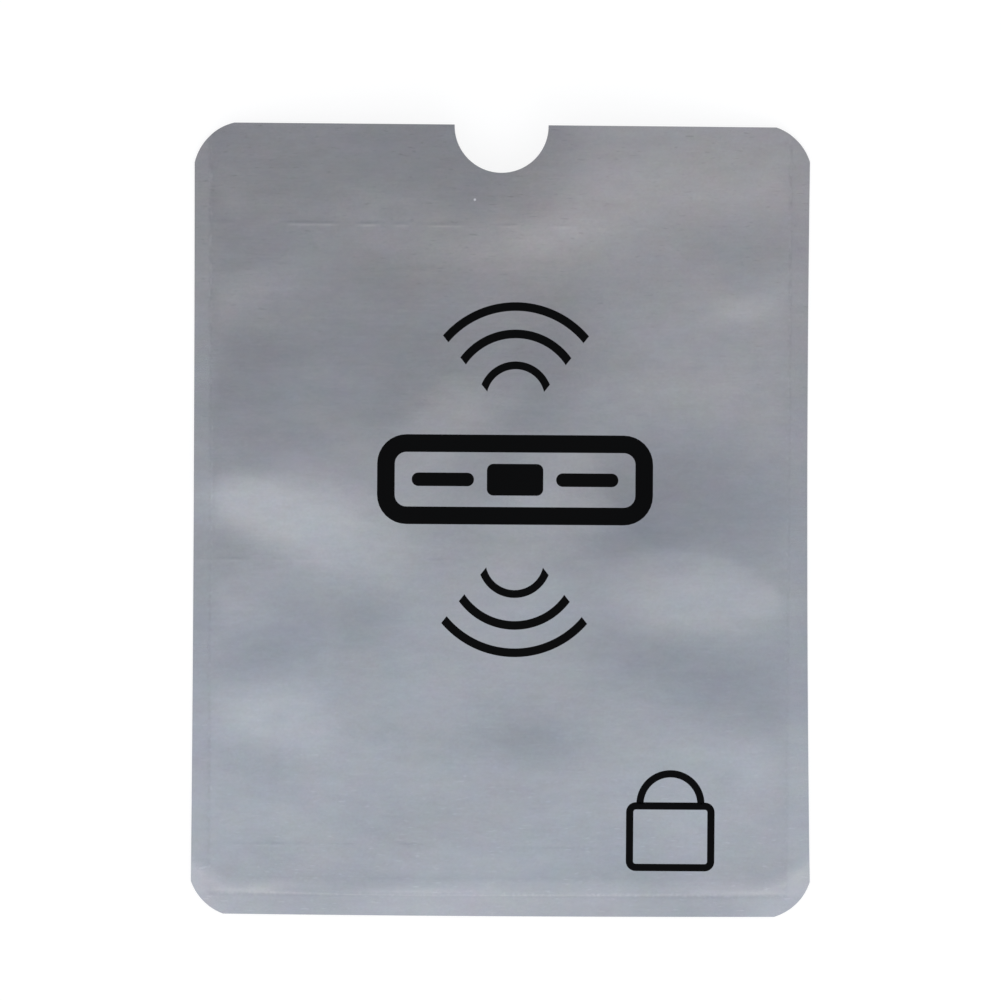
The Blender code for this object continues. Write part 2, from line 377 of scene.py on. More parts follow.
# The other materials: their colours, their noises as for the film, and how rough they are, and how
# light the liner is, from the noise's low end to its high end
FOIL_COLOUR = (0.80, 0.81, 0.83)
FOIL_NOISE = (2 * MM, 2 * MM, 2 * MM, 0.0, 2.0)
FOIL_ROUGHNESS = (0.16, 0.31)
LINER_COLOUR = (0.66, 0.67, 0.69)
LINER_NOISE = (6 * MM, 3 * MM, 6 * MM, 0.0, 3.0)
LINER_TONE = (0.8, 1.0)
LINER_ROUGHNESS = (0.35, 0.55)
SEAL_COLOUR = (0.55, 0.56, 0.58)
SEAL_NOISE = (1 * MM, 1 * MM, 1 * MM, 0.0, 2.0)
SEAL_ROUGHNESS = (0.38, 0.63)
INK_COLOUR = (0.0012, 0.0013, 0.0015)
INK_ROUGHNESS = (0.32, 0.52)

# The camera looks straight down from far off, turned a little, as in the photograph
CAMERA_HEIGHT = 3.0
PHOTO_SPAN = 170.75 * MM
SENSOR = 36.0
CAMERA_Y = 3.5 * MM
CAMERA_ROLL = math.radians(0.37)
CAMERA_NEAR = 0.01
CAMERA_FAR = 20

# The tent of light: its colour by the angle from overhead, positive towards the bottom seal
TENT = (
    (90, (0.80, 0.82, 0.86)),
    (40, (0.50, 0.51, 0.53)),
    (20, (0.448, 0.468, 0.50)),
    (15, (0.487, 0.51, 0.545)),
    (12, (0.685, 0.69, 0.705)),
    (9, (0.695, 0.69, 0.69)),
    (5, (0.522, 0.529, 0.548)),
    (-2, (0.430, 0.448, 0.484)),
    (-8, (0.385, 0.402, 0.438)),
    (-20, (0.345, 0.361, 0.396)),
    (-90, (0.54, 0.56, 0.59)),
)

# The softboxes: place, how far each is tipped up from facing down, how far it is turned, its
# size, power and colour. The window hangs close above, and its edge runs over the sleeve. The
# card lights up the right half by the mouth, the side ones the left edge, and the corner one the
# lower right. The far one gives a gleam in views from the side.
SOFTBOXES = {
    "window": ((0, -0.354, 0.5), 0, 4, (1.4, 0.7), 0.73, (0.99, 1.0, 1.02)),
    "side": ((-0.29, 0.09, 0.48), 0, 0, (0.5, 0.3), 0.008, (0.88, 1.0, 1.20)),
    "side_low": ((-0.32, -0.22, 0.47), 0, 0, (0.5, 0.52), 0.092, (0.99, 1.0, 1.02)),
    "corner": ((0.31, -0.32, 0.46), 0, 0, (0.5, 0.4), 0.035, (0.99, 1.0, 1.02)),
    "card": ((0.29, 0.135, 0.49), 0, 0, (0.5, 0.24), 0.061, (1.0, 0.98, 1.0)),
    "far": ((0.5, -1.2, 0.9), 53, 23, (0.8, 0.8), 3, (1.0, 1.0, 1.0)),
}

# The tent's colour low down, and how far up that reaches. Then the table: its size and height, its
# shade in reflections and as the camera sees it, and the glow that the camera sees on it.
TENT_SIDE = (1.05, 1.06, 1.08)
TENT_SIDE_Z = 0.7
TABLE_SIZE = 6
TABLE_Z = -0.05 * MM
TABLE_SHADE = 0.8
TABLE_SHADE_SEEN = 0.22
TABLE_GLOW = 0.86


def gape(x, y):
    """Height of the arch at a point, as in the solids."""
    across = min(abs(x) / POCKET_HALF_WIDTH, 1)
    along = min(max((y - POCKET_FLOOR_Y) / POCKET_DEPTH, 0), 1)
    return MOUTH_GAPE * (1 - across**ARCH_POWER) * (1 - (1 - along) ** RAMP_POWER)


def pocket_share(x, y):
    """How free the film is at a point: nothing on the seals, and all of it well inside them."""
    side = min(max((POCKET_HALF_WIDTH - abs(x)) / FREE_REACH, 0), 1)
    floor = min(max((y - POCKET_FLOOR_Y) / FREE_REACH, 0), 1)
    return side * (2 - side) * floor * (2 - floor)


def dents(x, y):
    """Depth of all the soft dents at a point."""
    total = 0
    for dent_x, dent_y, reach_x, reach_y, turn, tilt in DENTS:
        off_x, off_y = x - dent_x, y - dent_y
        cosine, sine = math.cos(math.radians(turn)), math.sin(math.radians(turn))
        across = (off_x * cosine + off_y * sine) / reach_x
        along = (off_y * cosine - off_x * sine) / reach_y
        fade = math.exp(-(across**2 + (along / DENT_FADE) ** 2) / 2)
        total += math.tan(math.radians(tilt)) * reach_y * math.erf(along / math.sqrt(2)) * fade
    return total


def hem(x, y):
    """Height of the welded edges at a point, which roll a little with the dents beside them."""
    return HEM_LIFT + HEM_SHARE * (1 - pocket_share(x, y)) * dents(x, y)


def fold_line(fold, x):
    """How far up the sleeve a fold is, at a place across it."""
    return fold[0] + x * math.tan(math.radians(fold[1]))


def folds(x, y):
    """Height of the faint folds at a point. Each is a small ridge that comes and goes along its line."""
    total = 0
    for fold in FOLDS:
        height, reach, middle, run = fold[2:]
        change = FOLD_CHANGE * noise.noise(Vector((x / FOLD_DASH, fold[0] / MM, FOLD_SEED)))
        strength = max(FOLD_STRENGTH + change, 0)
        away = ((y - fold_line(fold, x)) / reach) ** 2 + ((x - middle) / run) ** 4
        total += height * strength * math.exp(-away)
    return total


def groove(x, y):
    """Depth of the welding bar's groove at a point."""
    beside_x = (abs(x) - POCKET_HALF_WIDTH + GROOVE_INSET) / GROOVE_REACH
    beside_y = (y - POCKET_FLOOR_Y - GROOVE_INSET) / GROOVE_REACH
    upright = math.exp(-(beside_x**2)) if y > POCKET_FLOOR_Y else 0
    level = math.exp(-(beside_y**2)) if abs(x) < POCKET_HALF_WIDTH else 0
    return GROOVE_DEPTH * max(GROOVE_SIDE_SHARE * upright, level)


def crease_line(x):
    """How far up the sleeve the curved crease is, at a place across it."""
    return CREASE_TOP[1] - CREASE_BEND * (x - CREASE_TOP[0]) ** 2


def crease(x, y):
    """Height of the curved crease: level above its line, and turned down below it."""
    below = crease_line(x) - y
    down = CREASE_KINK * math.log1p(math.exp(min(below / CREASE_KINK, EXPONENT_LIMIT)))
    drop = CREASE_DECAY * (1 - math.exp(-down / CREASE_DECAY))
    fade = math.exp(-((max(below, 0) / CREASE_FADE) ** 2) - ((x - CREASE_MIDDLE) / CREASE_REACH) ** 2 / 2)
    return -math.tan(math.radians(CREASE_TILT)) * drop * fade


def mottle(x, y, seed):
    """Height of the restless small waves at a point."""
    total = 0
    for size, height in MOTTLE:
        total += height * noise.noise(Vector((x / size, MOTTLE_SQUEEZE * y / size, seed)))
    return total


def front_height(x, y):
    """Height of the inner face of the front wall."""
    loose = dents(x, y) + crease(x, y) + mottle(x, y, FRONT_SEED)
    pressed = folds(x, y) - groove(x, y)
    return FRONT_WALL_Z + hem(x, y) + GAPE_SHARE * gape(x, y) + pocket_share(x, y) * loose + pressed


def rear_height(x, y):
    """Height of the outer face of the rear wall, which lies on the table."""
    lift = MOTTLE[0][1] + mottle(x, y, REAR_SEED)
    return hem(x, y) + max(REAR_MOTTLE_SHARE * pocket_share(x, y) * lift, 0) + groove(x, y)


def corner_arc(side_x, side_y):
    """Points of a punched corner, from the upright edge round to the level edge."""
    inset = CORNER_RADIUS - CORNER_SHORTFALLS[side_x, side_y]
    first = math.acos(inset / CORNER_RADIUS)
    last = math.pi / 2 - first
    points = []
    for step in range(CORNER_STEPS + 1):
        angle = first + (last - first) * step / CORNER_STEPS
        x = HALF_WIDTH - inset + CORNER_RADIUS * math.cos(angle)
        y = HALF_HEIGHT - inset + CORNER_RADIUS * math.sin(angle)
        points.append(Vector((side_x * x, side_y * y)))
    return points


def notch_arc():
    """Points of the thumb notch, from its right end round to its left end."""
    rise = math.asin(NOTCH_DROP / NOTCH_RADIUS)
    points = []
    for step in range(NOTCH_STEPS + 1):
        angle = rise - (math.pi + 2 * rise) * step / NOTCH_STEPS
        x = -NOTCH_SHIFT + NOTCH_RADIUS * math.cos(angle)
        y = HALF_HEIGHT - NOTCH_DROP + NOTCH_RADIUS * math.sin(angle)
        points.append(Vector((x, y)))
    return points


def in_cells(line):
    """A closed line with its long runs cut into cells."""
    cut = []
    for start, end in zip(line, line[1:] + line[:1]):
        pieces = max(1, round((end - start).length / CELL))
        cut += [start.lerp(end, piece / pieces) for piece in range(pieces)]
    return cut


def sleeve_outline():
    """The die-cut outline, counter-clockwise seen from +Z."""
    outline = corner_arc(1, 1)
    outline += notch_arc()
    outline += reversed(corner_arc(-1, 1))
    outline += corner_arc(-1, -1)
    outline += reversed(corner_arc(1, -1))
    return outline


def edge_margin(x, y):
    """Distance from a point in the sleeve to the nearest cut edge."""
    margins = [HALF_WIDTH - abs(x), HALF_HEIGHT - abs(y)]
    margins.append(math.hypot(x + NOTCH_SHIFT, y - HALF_HEIGHT + NOTCH_DROP) - NOTCH_RADIUS)
    for (side_x, side_y), shortfall in CORNER_SHORTFALLS.items():
        inset = CORNER_RADIUS - shortfall
        out_x = side_x * x - (HALF_WIDTH - inset)
        out_y = side_y * y - (HALF_HEIGHT - inset)
        if out_x > 0 and out_y > 0:
            margins.append(CORNER_RADIUS - math.hypot(out_x, out_y))
    return min(margins)


def bow(edge, share):
    """How far an edge strays at a place along it, given as a share from -1 to 1."""
    shift, slant, bend = EDGE_BOW[edge]
    return shift + slant * share + bend * share**2


def strayed(point):
    """A point of the true outline or inside it, moved as this sleeve's edges stray."""
    share_x, share_y = point.x / HALF_WIDTH, point.y / HALF_HEIGHT
    off_x = share_x**2 * bow("right" if share_x > 0 else "left", share_y)
    off_y = share_y**2 * bow("top" if share_y > 0 else "bottom", share_x)
    return Vector((point.x + off_x, point.y + off_y))


def stations(*stops):
    """Grid lines about a cell apart that pass through each stop."""
    lines = []
    for start, end in zip(stops, stops[1:]):
        cells = max(1, round((end - start) / CELL))
        lines += [start + (end - start) * cell / cells for cell in range(cells)]
    return lines


def refine(lines, places):
    """Grid lines with those near each place taken out and close ones put in there."""
    kept = [line for line in lines if all(abs(line - place) > FINE_REACH for place in places)]
    return sorted(kept + [place + offset for place in places for offset in FINE_OFFSETS])


def sheet_points():
    """Points inside the outline: a grid with closer lines along the seals, the folds and the crease."""
    seal_edge = POCKET_HALF_WIDTH - GROOVE_INSET / 2
    columns = refine(stations(-HALF_WIDTH, 0, HALF_WIDTH), (-seal_edge, seal_edge))
    rows = stations(-HALF_HEIGHT, 0, HALF_HEIGHT)
    clearance = EDGE_CLEARANCE_SHARE * CELL
    points = []
    for x in columns:
        places = [fold_line(fold, x) for fold in FOLDS]
        places.append(POCKET_FLOOR_Y + GROOVE_INSET / 2)
        bend = crease_line(x)
        clear = all(abs(bend - place) > 2 * FINE_REACH for place in places)
        if clear and CREASE_SPAN[0] < x < CREASE_SPAN[1]:
            places.append(bend)
        points += [Vector((x, y)) for y in refine(rows, places) if edge_margin(x, y) > clearance]
    return points


def mark_cut_edges(mesh):
    """Mark the edges that have one face only, so that the plies' rims stay crisp."""
    work = bmesh.new()
    work.from_mesh(mesh)
    for edge in work.edges:
        edge.smooth = not edge.is_boundary
    work.to_mesh(mesh)
    work.free()


def make_sheet(name, height):
    """An open triangulated sheet of the outline, whose height follows a function."""
    outline = in_cells(sleeve_outline())
    loop = list(range(len(outline)))
    flat = delaunay_2d_cdt(outline + sheet_points(), [], [loop], INSIDE_ONLY, SAME_POINT)
    points = [(point.x, point.y, height(point.x, point.y)) for point in map(strayed, flat[0])]
    mesh = bpy.data.meshes.new(name)
    mesh.from_pydata(points, [], flat[2])
    mesh.shade_smooth()
    mesh.update()
    mark_cut_edges(mesh)
    return mesh


def add_object(name, data):
    """An object in the scene, with its mesh, light or camera."""
    added = bpy.data.objects.new(name, data)
    bpy.context.scene.collection.objects.link(added)
    return added


def thicken(piece, thickness):
    """Give a sheet its thickness, on its upper side."""
    solid = piece.modifiers.new("solid", "SOLIDIFY")
    solid.thickness = thickness
    solid.offset = 1


def make_ply(wall, slot, sheet, level, thickness, looks):
    """One ply of a wall: the wall's sheet lifted to the ply's level and given its thickness."""
    node = f"{wall}_{slot}"
    ply = add_object(f"{node}_skin", sheet.copy())
    lift = ply.modifiers.new("lift", "DISPLACE")
    lift.direction = "NORMAL"
    lift.mid_level = 0
    lift.strength = level
    thicken(ply, thickness)
    ply.data.materials.append(looks[slot])
    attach(ply, "root")
    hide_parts(node)


def clip(points, side, limit):
    """The part of a closed line that lies past a limit, measured along a side direction."""
    kept = []
    for start, end in zip(points, points[1:] + points[:1]):
        before, after = side.dot(start) - limit, side.dot(end) - limit
        if before >= 0:
            kept.append(start)
        if (before >= 0) != (after >= 0):
            kept.append(start.lerp(end, before / (before - after)))
    return kept


def make_seal(name, line, looks):
    """One heat seal: a closed line filled in and given the seal's thickness."""
    low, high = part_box(name)
    line = in_cells(line)
    loop = list(range(len(line)))
    flat = delaunay_2d_cdt(line, [], [loop], INSIDE_ONLY, SAME_POINT)
    points = [(point.x, point.y, low.z + hem(point.x, point.y)) for point in map(strayed, flat[0])]
    mesh = bpy.data.meshes.new(name)
    mesh.from_pydata(points, [], flat[2])
    mesh.materials.append(looks["seal"])
    seal = add_object(f"{name}_strip", mesh)
    thicken(seal, high.z - low.z)
    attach(seal, "root")
    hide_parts(name)


def make_seals(looks):
    """The two side seals, and the bottom one between them, cut along the sleeve's edges."""
    outline = sleeve_outline()
    left, right = Vector((-1, 0)), Vector((1, 0))
    make_seal("left_seal", clip(outline, left, POCKET_HALF_WIDTH), looks)
    make_seal("right_seal", clip(outline, right, POCKET_HALF_WIDTH), looks)
    end_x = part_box("bottom_seal")[1].x
    bottom = clip(outline, Vector((0, -1)), -POCKET_FLOOR_Y)
    make_seal("bottom_seal", clip(clip(bottom, left, -end_x), right, -end_x), looks)


def make_walls(looks):
    """Both walls, ply by ply: the rear one from the table up, the front one from the pocket out."""
    rear = make_sheet("rear_sheet", rear_height)
    make_ply("rear", "cover_film", rear, 0, COVER_FILM, looks)
    make_ply("rear", "shield_foil", rear, SHIELD_FOIL_BASE, SHIELD_FOIL, looks)
    make_ply("rear", "liner", rear, LINER_BASE, LINER, looks)
    front = make_sheet("front_sheet", front_height)
    foil_level = LINER + BOND
    film_level = foil_level + SHIELD_FOIL + BOND
    make_ply("front", "liner", front, 0, LINER, looks)
    make_ply("front", "shield_foil", front, foil_level, SHIELD_FOIL, looks)
    make_ply("front", "cover_film", front, film_level, COVER_FILM, looks)


def ink_layers(work, near, far, lanes):
    """Rows of points between two lines: one layer at the ink's underside and one at its top."""
    layers = []
    for level in (INK_LIFT + WALL, INK_LIFT + WALL + INK_THICKNESS):
        rows = []
        for start, end in zip(near, far):
            row = []
            for lane in range(lanes + 1):
                x, y = start.lerp(end, lane / lanes)
                row.append(work.verts.new((x, y, front_height(x, y) + level)))
            rows.append(row)
        layers.append(rows)
    return layers


def ink_strip(name, near, far, lanes, closed, ink):
    """Ink between two lines of points on the front film, as a thin solid that follows the film."""
    work = bmesh.new()
    layers = ink_layers(work, near, far, lanes)
    low, high = layers
    count = len(near)
    for here in range(count if closed else count - 1):
        there = (here + 1) % count
        for lane in range(lanes):
            for rows in layers:
                near_side = (rows[here][lane], rows[there][lane])
                far_side = (rows[there][lane + 1], rows[here][lane + 1])
                work.faces.new(near_side + far_side)
        for lane in (0, lanes):
            work.faces.new((low[here][lane], low[there][lane], high[there][lane], high[here][lane]))
    if not closed:
        for end in (0, count - 1):
            for lane in range(lanes):
                work.faces.new((low[end][lane], low[end][lane + 1], high[end][lane + 1], high[end][lane]))
    bmesh.ops.remove_doubles(work, verts=work.verts, dist=SAME_POINT)
    bmesh.ops.recalc_face_normals(work, faces=work.faces)
    mesh = bpy.data.meshes.new(name)
    work.to_mesh(mesh)
    work.free()
    mesh.materials.append(ink)
    piece = add_object(name, mesh)
    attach(piece, "root")


def on_circle(centre_x, centre_y, radius, angle):
    """The point of a circle at an angle measured clockwise from +Y."""
    return Vector((centre_x + radius * math.sin(angle), centre_y + radius * math.cos(angle)))


def wave_angle(radius):
    """Where the side of the waves' common sector crosses a circle, as an angle from the middle."""
    side = WAVE_APEX_DROP * math.sin(WAVE_SPREAD)
    reach = WAVE_APEX_DROP * math.cos(WAVE_SPREAD) + math.sqrt(radius**2 - side**2)
    return math.asin(reach * math.sin(WAVE_SPREAD) / radius)


def make_waves(name, centre_y, direction, ink):
    """Three arcs that fan out from the tag. direction is 1 upwards and -1 downwards."""
    for number, (radius, stroke) in enumerate(WAVES):
        inner = radius - stroke / 2
        outer = radius + stroke / 2
        steps = max(WAVE_LEAST_STEPS, round(2 * wave_angle(radius) * radius / INK_STEP))
        near, far = [], []
        for step in range(steps + 1):
            turn = 2 * step / steps - 1
            for line, reach in ((near, inner), (far, outer)):
                point = on_circle(0, 0, reach, turn * wave_angle(reach))
                line.append(Vector((PRINT_X + point.x, centre_y + direction * point.y)))
        ink_strip(f"{name}_{number}", near, far, ARC_LANES, False, ink)


def round_box(centre_x, centre_y, width, height, rounding):
    """A closed line round a box with round corners."""
    points = []
    for side_x, side_y, first in ((1, 1, 0), (1, -1, 1), (-1, -1, 2), (-1, 1, 3)):
        middle_x = centre_x + side_x * (width / 2 - rounding)
        middle_y = centre_y + side_y * (height / 2 - rounding)
        for step in range(ROUNDING_STEPS + 1):
            angle = math.pi / 2 * (first + step / ROUNDING_STEPS)
            points.append(on_circle(middle_x, middle_y, rounding, angle))
    return points


def subdivide(near, far):
    """Both closed lines with points added evenly, so that no step of the near line is long."""
    fine_near, fine_far = [], []
    for here in range(len(near)):
        there = (here + 1) % len(near)
        pieces = max(1, round((near[there] - near[here]).length / INK_STEP))
        for piece in range(pieces):
            fine_near.append(near[here].lerp(near[there], piece / pieces))
            fine_far.append(far[here].lerp(far[there], piece / pieces))
    return fine_near, fine_far


def make_ring(name, centre_x, centre_y, width, height, rounding, stroke, ink):
    """A round-cornered frame of ink, whose width and height are its outer ones."""
    inner_rounding = max(rounding - stroke, stroke / 4)
    outer = round_box(centre_x, centre_y, width, height, rounding)
    inner = round_box(centre_x, centre_y, width - 2 * stroke, height - 2 * stroke, inner_rounding)
    outer, inner = subdivide(outer, inner)
    ink_strip(name, inner, outer, BLOCK_LANES, True, ink)


def make_block(name, centre_x, centre_y, width, height, rounding, ink):
    """A solid round-cornered block of ink."""
    outer = round_box(centre_x, centre_y, width, height, rounding)
    reach = (width - height) / 2
    low_x, high_x = centre_x - reach, centre_x + reach
    spine = [Vector((min(max(point.x, low_x), high_x), centre_y)) for point in outer]
    outer, spine = subdivide(outer, spine)
    ink_strip(name, spine, outer, BLOCK_LANES, True, ink)


def make_tag(ink):
    """A plain picture of a radio tag: a rounded frame, a chip, and a lead on each side of it."""
    make_ring("tag_frame", PRINT_X, TAG_Y, TAG_WIDTH, TAG_HEIGHT, TAG_ROUND, TAG_STROKE, ink)
    make_block("tag_chip", PRINT_X, TAG_Y, CHIP_WIDTH, CHIP_HEIGHT, CHIP_ROUND, ink)
    for side, label in ((-1, "left"), (1, "right")):
        centre = PRINT_X + side * (BAR_INNER_X + BAR_OUTER_X) / 2
        length = BAR_OUTER_X - BAR_INNER_X
        make_block(f"tag_lead_{label}", centre, TAG_Y, length, BAR_THICKNESS, BAR_ROUND, ink)


def make_lock(ink):
    """A plain padlock: a rounded frame for its body and a half ring for its shackle."""
    make_ring("lock_body", LOCK_X, LOCK_Y, LOCK_WIDTH, LOCK_HEIGHT, LOCK_ROUND, LOCK_STROKE, ink)
    base_y = LOCK_Y + LOCK_HEIGHT / 2 - SHACKLE_SINK
    near, far = [], []
    for step in range(SHACKLE_STEPS + 1):
        turn = math.pi * (step / SHACKLE_STEPS - 0.5)
        near.append(on_circle(LOCK_X, base_y, SHACKLE_RADIUS - LOCK_STROKE / 2, turn))
        far.append(on_circle(LOCK_X, base_y, SHACKLE_RADIUS + LOCK_STROKE / 2, turn))
    ink_strip("lock_shackle", near, far, ARC_LANES, False, ink)


class Nodes:
    """Short calls that add nodes to one material or world."""

    def __init__(self, owner):
        """Start with an empty tree."""
        owner.use_nodes = True
        self.tree = owner.node_tree
        self.tree.nodes.clear()

    def add(self, kind, inputs=None, **settings):
        """A node with its settings, and its inputs as values or as sockets to link from."""
        node = self.tree.nodes.new(kind)
        for name, value in settings.items():
            setattr(node, name, value)
        for name, value in (inputs or {}).items():
            socket = node.inputs[name]
            if isinstance(value, bpy.types.NodeSocket):
                self.tree.links.new(value, socket)
            else:
                socket.default_value = value
        return node

    def math(self, operation, first, second=0.0, third=0.0):
        """The result of a Math node."""
        return self.add("ShaderNodeMath", {0: first, 1: second, 2: third}, operation=operation).outputs[0]

    def place(self, size_x, size_y, size_z, offset=0.0):
        """Object coordinates, so that one unit is the given size along each axis."""
        place = self.add("ShaderNodeTexCoord").outputs["Object"]
        scale = (1 / size_x, 1 / size_y, 1 / size_z)
        inputs = {"Vector": place, "Scale": scale, "Location": (offset, offset, offset)}
        return self.add("ShaderNodeMapping", inputs).outputs["Vector"]

    def noise(self, size_x, size_y, size_z, offset=0.0, detail=2.0, roughness=0.5, output="Fac"):
        """A noise from 0 to 1, whose grains have the given size along each axis."""
        place = self.place(size_x, size_y, size_z, offset)
        inputs = {"Vector": place, "Scale": 1.0, "Detail": detail, "Roughness": roughness}
        return self.add("ShaderNodeTexNoise", inputs).outputs[output]

    def axes(self):
        """Object coordinates as three values."""
        place = self.add("ShaderNodeTexCoord").outputs["Object"]
        return self.add("ShaderNodeSeparateXYZ", {0: place}).outputs

    def ramp(self, value, low, high, start=0.0, end=1.0):
        """A value that goes from start to end between two limits, and stays there beyond them."""
        inputs = {"Value": value, 1: low, 2: high, 3: start, 4: end}
        return self.add("ShaderNodeMapRange", inputs).outputs[0]

    def stretch(self, value, low, high):
        """A value made to go from low to high in place of 0 to 1."""
        return self.math("MULTIPLY_ADD", value, high - low, low)

    def hump(self, value, middle, reach):
        """A value that is 1 at its middle, and falls to 0 at its reach on either side."""
        off = self.math("DIVIDE", self.math("SUBTRACT", value, middle), reach)
        square = self.math("MULTIPLY", off, off)
        return self.math("MAXIMUM", self.math("SUBTRACT", 1.0, square), 0.0)

    def weighted(self, start, parts, shares):
        """A starting value with a share of each named part added to it."""
        total = start
        for name, share in shares.items():
            total = self.math("MULTIPLY_ADD", parts[name], share, total)
        return total

    def blend(self, share, first, second):
        """A colour on the way from one to another."""
        inputs = {"Factor": share, 6: first, 7: second}
        return self.add("ShaderNodeMix", inputs, data_type="RGBA").outputs[2]

    def scaled(self, vector, factor):
        """A colour or vector times one value."""
        inputs = {0: vector, "Scale": factor}
        return self.add("ShaderNodeVectorMath", inputs, operation="SCALE").outputs[0]


def plain_material(name, colour, roughness, metallic, specular=0.5):
    """A Principled material with one colour, and its nodes for more to be added."""
    material = bpy.data.materials.new(name)
    nodes = Nodes(material)
    inputs = {
        "Base Color": (*colour, 1),
        "Roughness": roughness,
        "Metallic": metallic,
        "Specular IOR Level": specular,
    }
    shader = nodes.add("ShaderNodeBsdfPrincipled", inputs)
    nodes.add("ShaderNodeOutputMaterial", {"Surface": shader.outputs["BSDF"]})
    return material, nodes, shader


def weld_marks_and_painted_edge_light(nodes, axes, parts, wander):
    """Where the film is pressed over a seal, the flecks along the seal's edge, and the thin dashes
    along the side ones, with a painted highlight on the left and painted shade on the right."""
    left = nodes.math("LESS_THAN", axes["X"], 0.0)
    lean = nodes.math("MULTIPLY", left, -WELD_SLANT)
    slant = nodes.math("MULTIPLY", nodes.math("MAXIMUM", axes["Y"], 0.0), lean)
    across = nodes.math("ABSOLUTE", nodes.math("ADD", axes["X"], WELD_SHIFT))
    past_side = nodes.math("SUBTRACT", across, POCKET_HALF_WIDTH + WELD_SHIFT)
    past_side = nodes.math("ADD", past_side, slant)
    past_floor = nodes.math("SUBTRACT", POCKET_FLOOR_Y, axes["Y"])
    past = nodes.math("ADD", nodes.math("MAXIMUM", past_side, past_floor), wander)
    pressed = nodes.ramp(past, 0.0, WELD_BLUR)
    off_edge = nodes.math("ABSOLUTE", nodes.math("ADD", past, wander))
    near = nodes.ramp(off_edge, 0.0, WELD_BLUR, 1.0, 0.0)
    flecks = nodes.math("MULTIPLY", near, nodes.ramp(parts["weld_speckle"], *FLECK_LEVELS))
    thin = nodes.math("ABSOLUTE", nodes.math("MULTIPLY_ADD", wander, DASH_WANDER_SHARE, past_side))
    thin = nodes.ramp(thin, DASH_CORE, DASH_REACH, 1.0, 0.0)
    high = nodes.ramp(axes["Y"], DASH_FADE_Y, DASH_TOP_Y, DASH_LOW_STRENGTH, 1.0)
    dashes = nodes.math("MULTIPLY", nodes.ramp(parts["weld_dash"], *DASH_LEVELS), thin)
    dashes = nodes.math("MULTIPLY", dashes, high)
    # The dashes are painted lighter on the left edge as a highlight and darker on the right as shade
    return pressed, flecks, nodes.math("MULTIPLY", dashes, nodes.stretch(left, DASH_RIGHT_SHADE, DASH_LEFT_HIGHLIGHT))


def painted_brim_highlight(nodes, axes, inward, wander):
    """The painted highlight strip over the bottom seal, which is 1 on its brightest line, with its apron.
    """
    corner = nodes.math("MAXIMUM", nodes.math("SUBTRACT", BRIM_CORNER, inward), 0.0)
    bend = nodes.math("MULTIPLY", nodes.math("MULTIPLY", corner, corner), BRIM_BEND)
    upward = nodes.math("ADD", nodes.math("ADD", axes["Y"], HALF_HEIGHT), wander)
    fade = nodes.ramp(nodes.math("SUBTRACT", upward, bend), BRIM_PEAK, BRIM_START, 1.0, 0.0)
    ridge = nodes.ramp(upward, BRIM_EDGE, BRIM_PEAK, BRIM_LOW_STRENGTH, 1.0)
    strength = 1.0
    for middle, reach, change in BRIM_PLACES:
        strength = nodes.math("MULTIPLY_ADD", nodes.hump(axes["X"], middle, reach), change, strength)
    brim = nodes.math("MULTIPLY", nodes.math("MULTIPLY", fade, ridge), strength)
    start = nodes.ramp(upward, APRON_PEAK, APRON_START, 1.0, 0.0)
    apron = nodes.math("MULTIPLY", start, nodes.ramp(upward, APRON_END, APRON_EDGE))
    apron = nodes.math("MULTIPLY", apron, nodes.hump(axes["X"], APRON_X, APRON_REACH))
    return nodes.math("MULTIPLY_ADD", apron, APRON_SHARE, brim)


def painted_rim_highlights(nodes, axes, wander):
    """How much lighter the film is painted over the bottom seal and along its low sides, as painted
    highlights.
    """
    inward = nodes.math("SUBTRACT", HALF_WIDTH, nodes.math("ABSOLUTE", axes["X"]))
    beside = nodes.ramp(inward, SIDES_EDGE, SIDES_REACH, 1.0, 0.0)
    sides = nodes.math("MULTIPLY", beside, nodes.ramp(axes["Y"], SIDES_TOP_Y, SIDES_FULL_Y))
    sides = nodes.math("MULTIPLY", sides, SIDES_HIGHLIGHT_TONE)
    brim = nodes.math("MULTIPLY", painted_brim_highlight(nodes, axes, inward, wander), BRIM_HIGHLIGHT_TONE)
    lesser, greater = nodes.math("MINIMUM", brim, sides), nodes.math("MAXIMUM", brim, sides)
    return nodes.math("MULTIPLY_ADD", lesser, CROSSING_SHARE, greater)


def nick(nodes, axes):
    """A pinprick in the front film near the notch, as 1 inside it and 0 outside."""
    place = nodes.add("ShaderNodeTexCoord").outputs["Object"]
    flat = nodes.add("ShaderNodeVectorMath", {0: place, 1: (1, 1, 0)}, operation="MULTIPLY").outputs[0]
    off = nodes.add("ShaderNodeVectorMath", {0: flat, 1: NICK_PLACE}, operation="DISTANCE").outputs["Value"]
    spot = nodes.ramp(off, NICK_CORE, NICK_RADIUS, 1.0, 0.0)
    return nodes.math("MULTIPLY", spot, nodes.math("GREATER_THAN", axes["Z"], 2 * WALL))


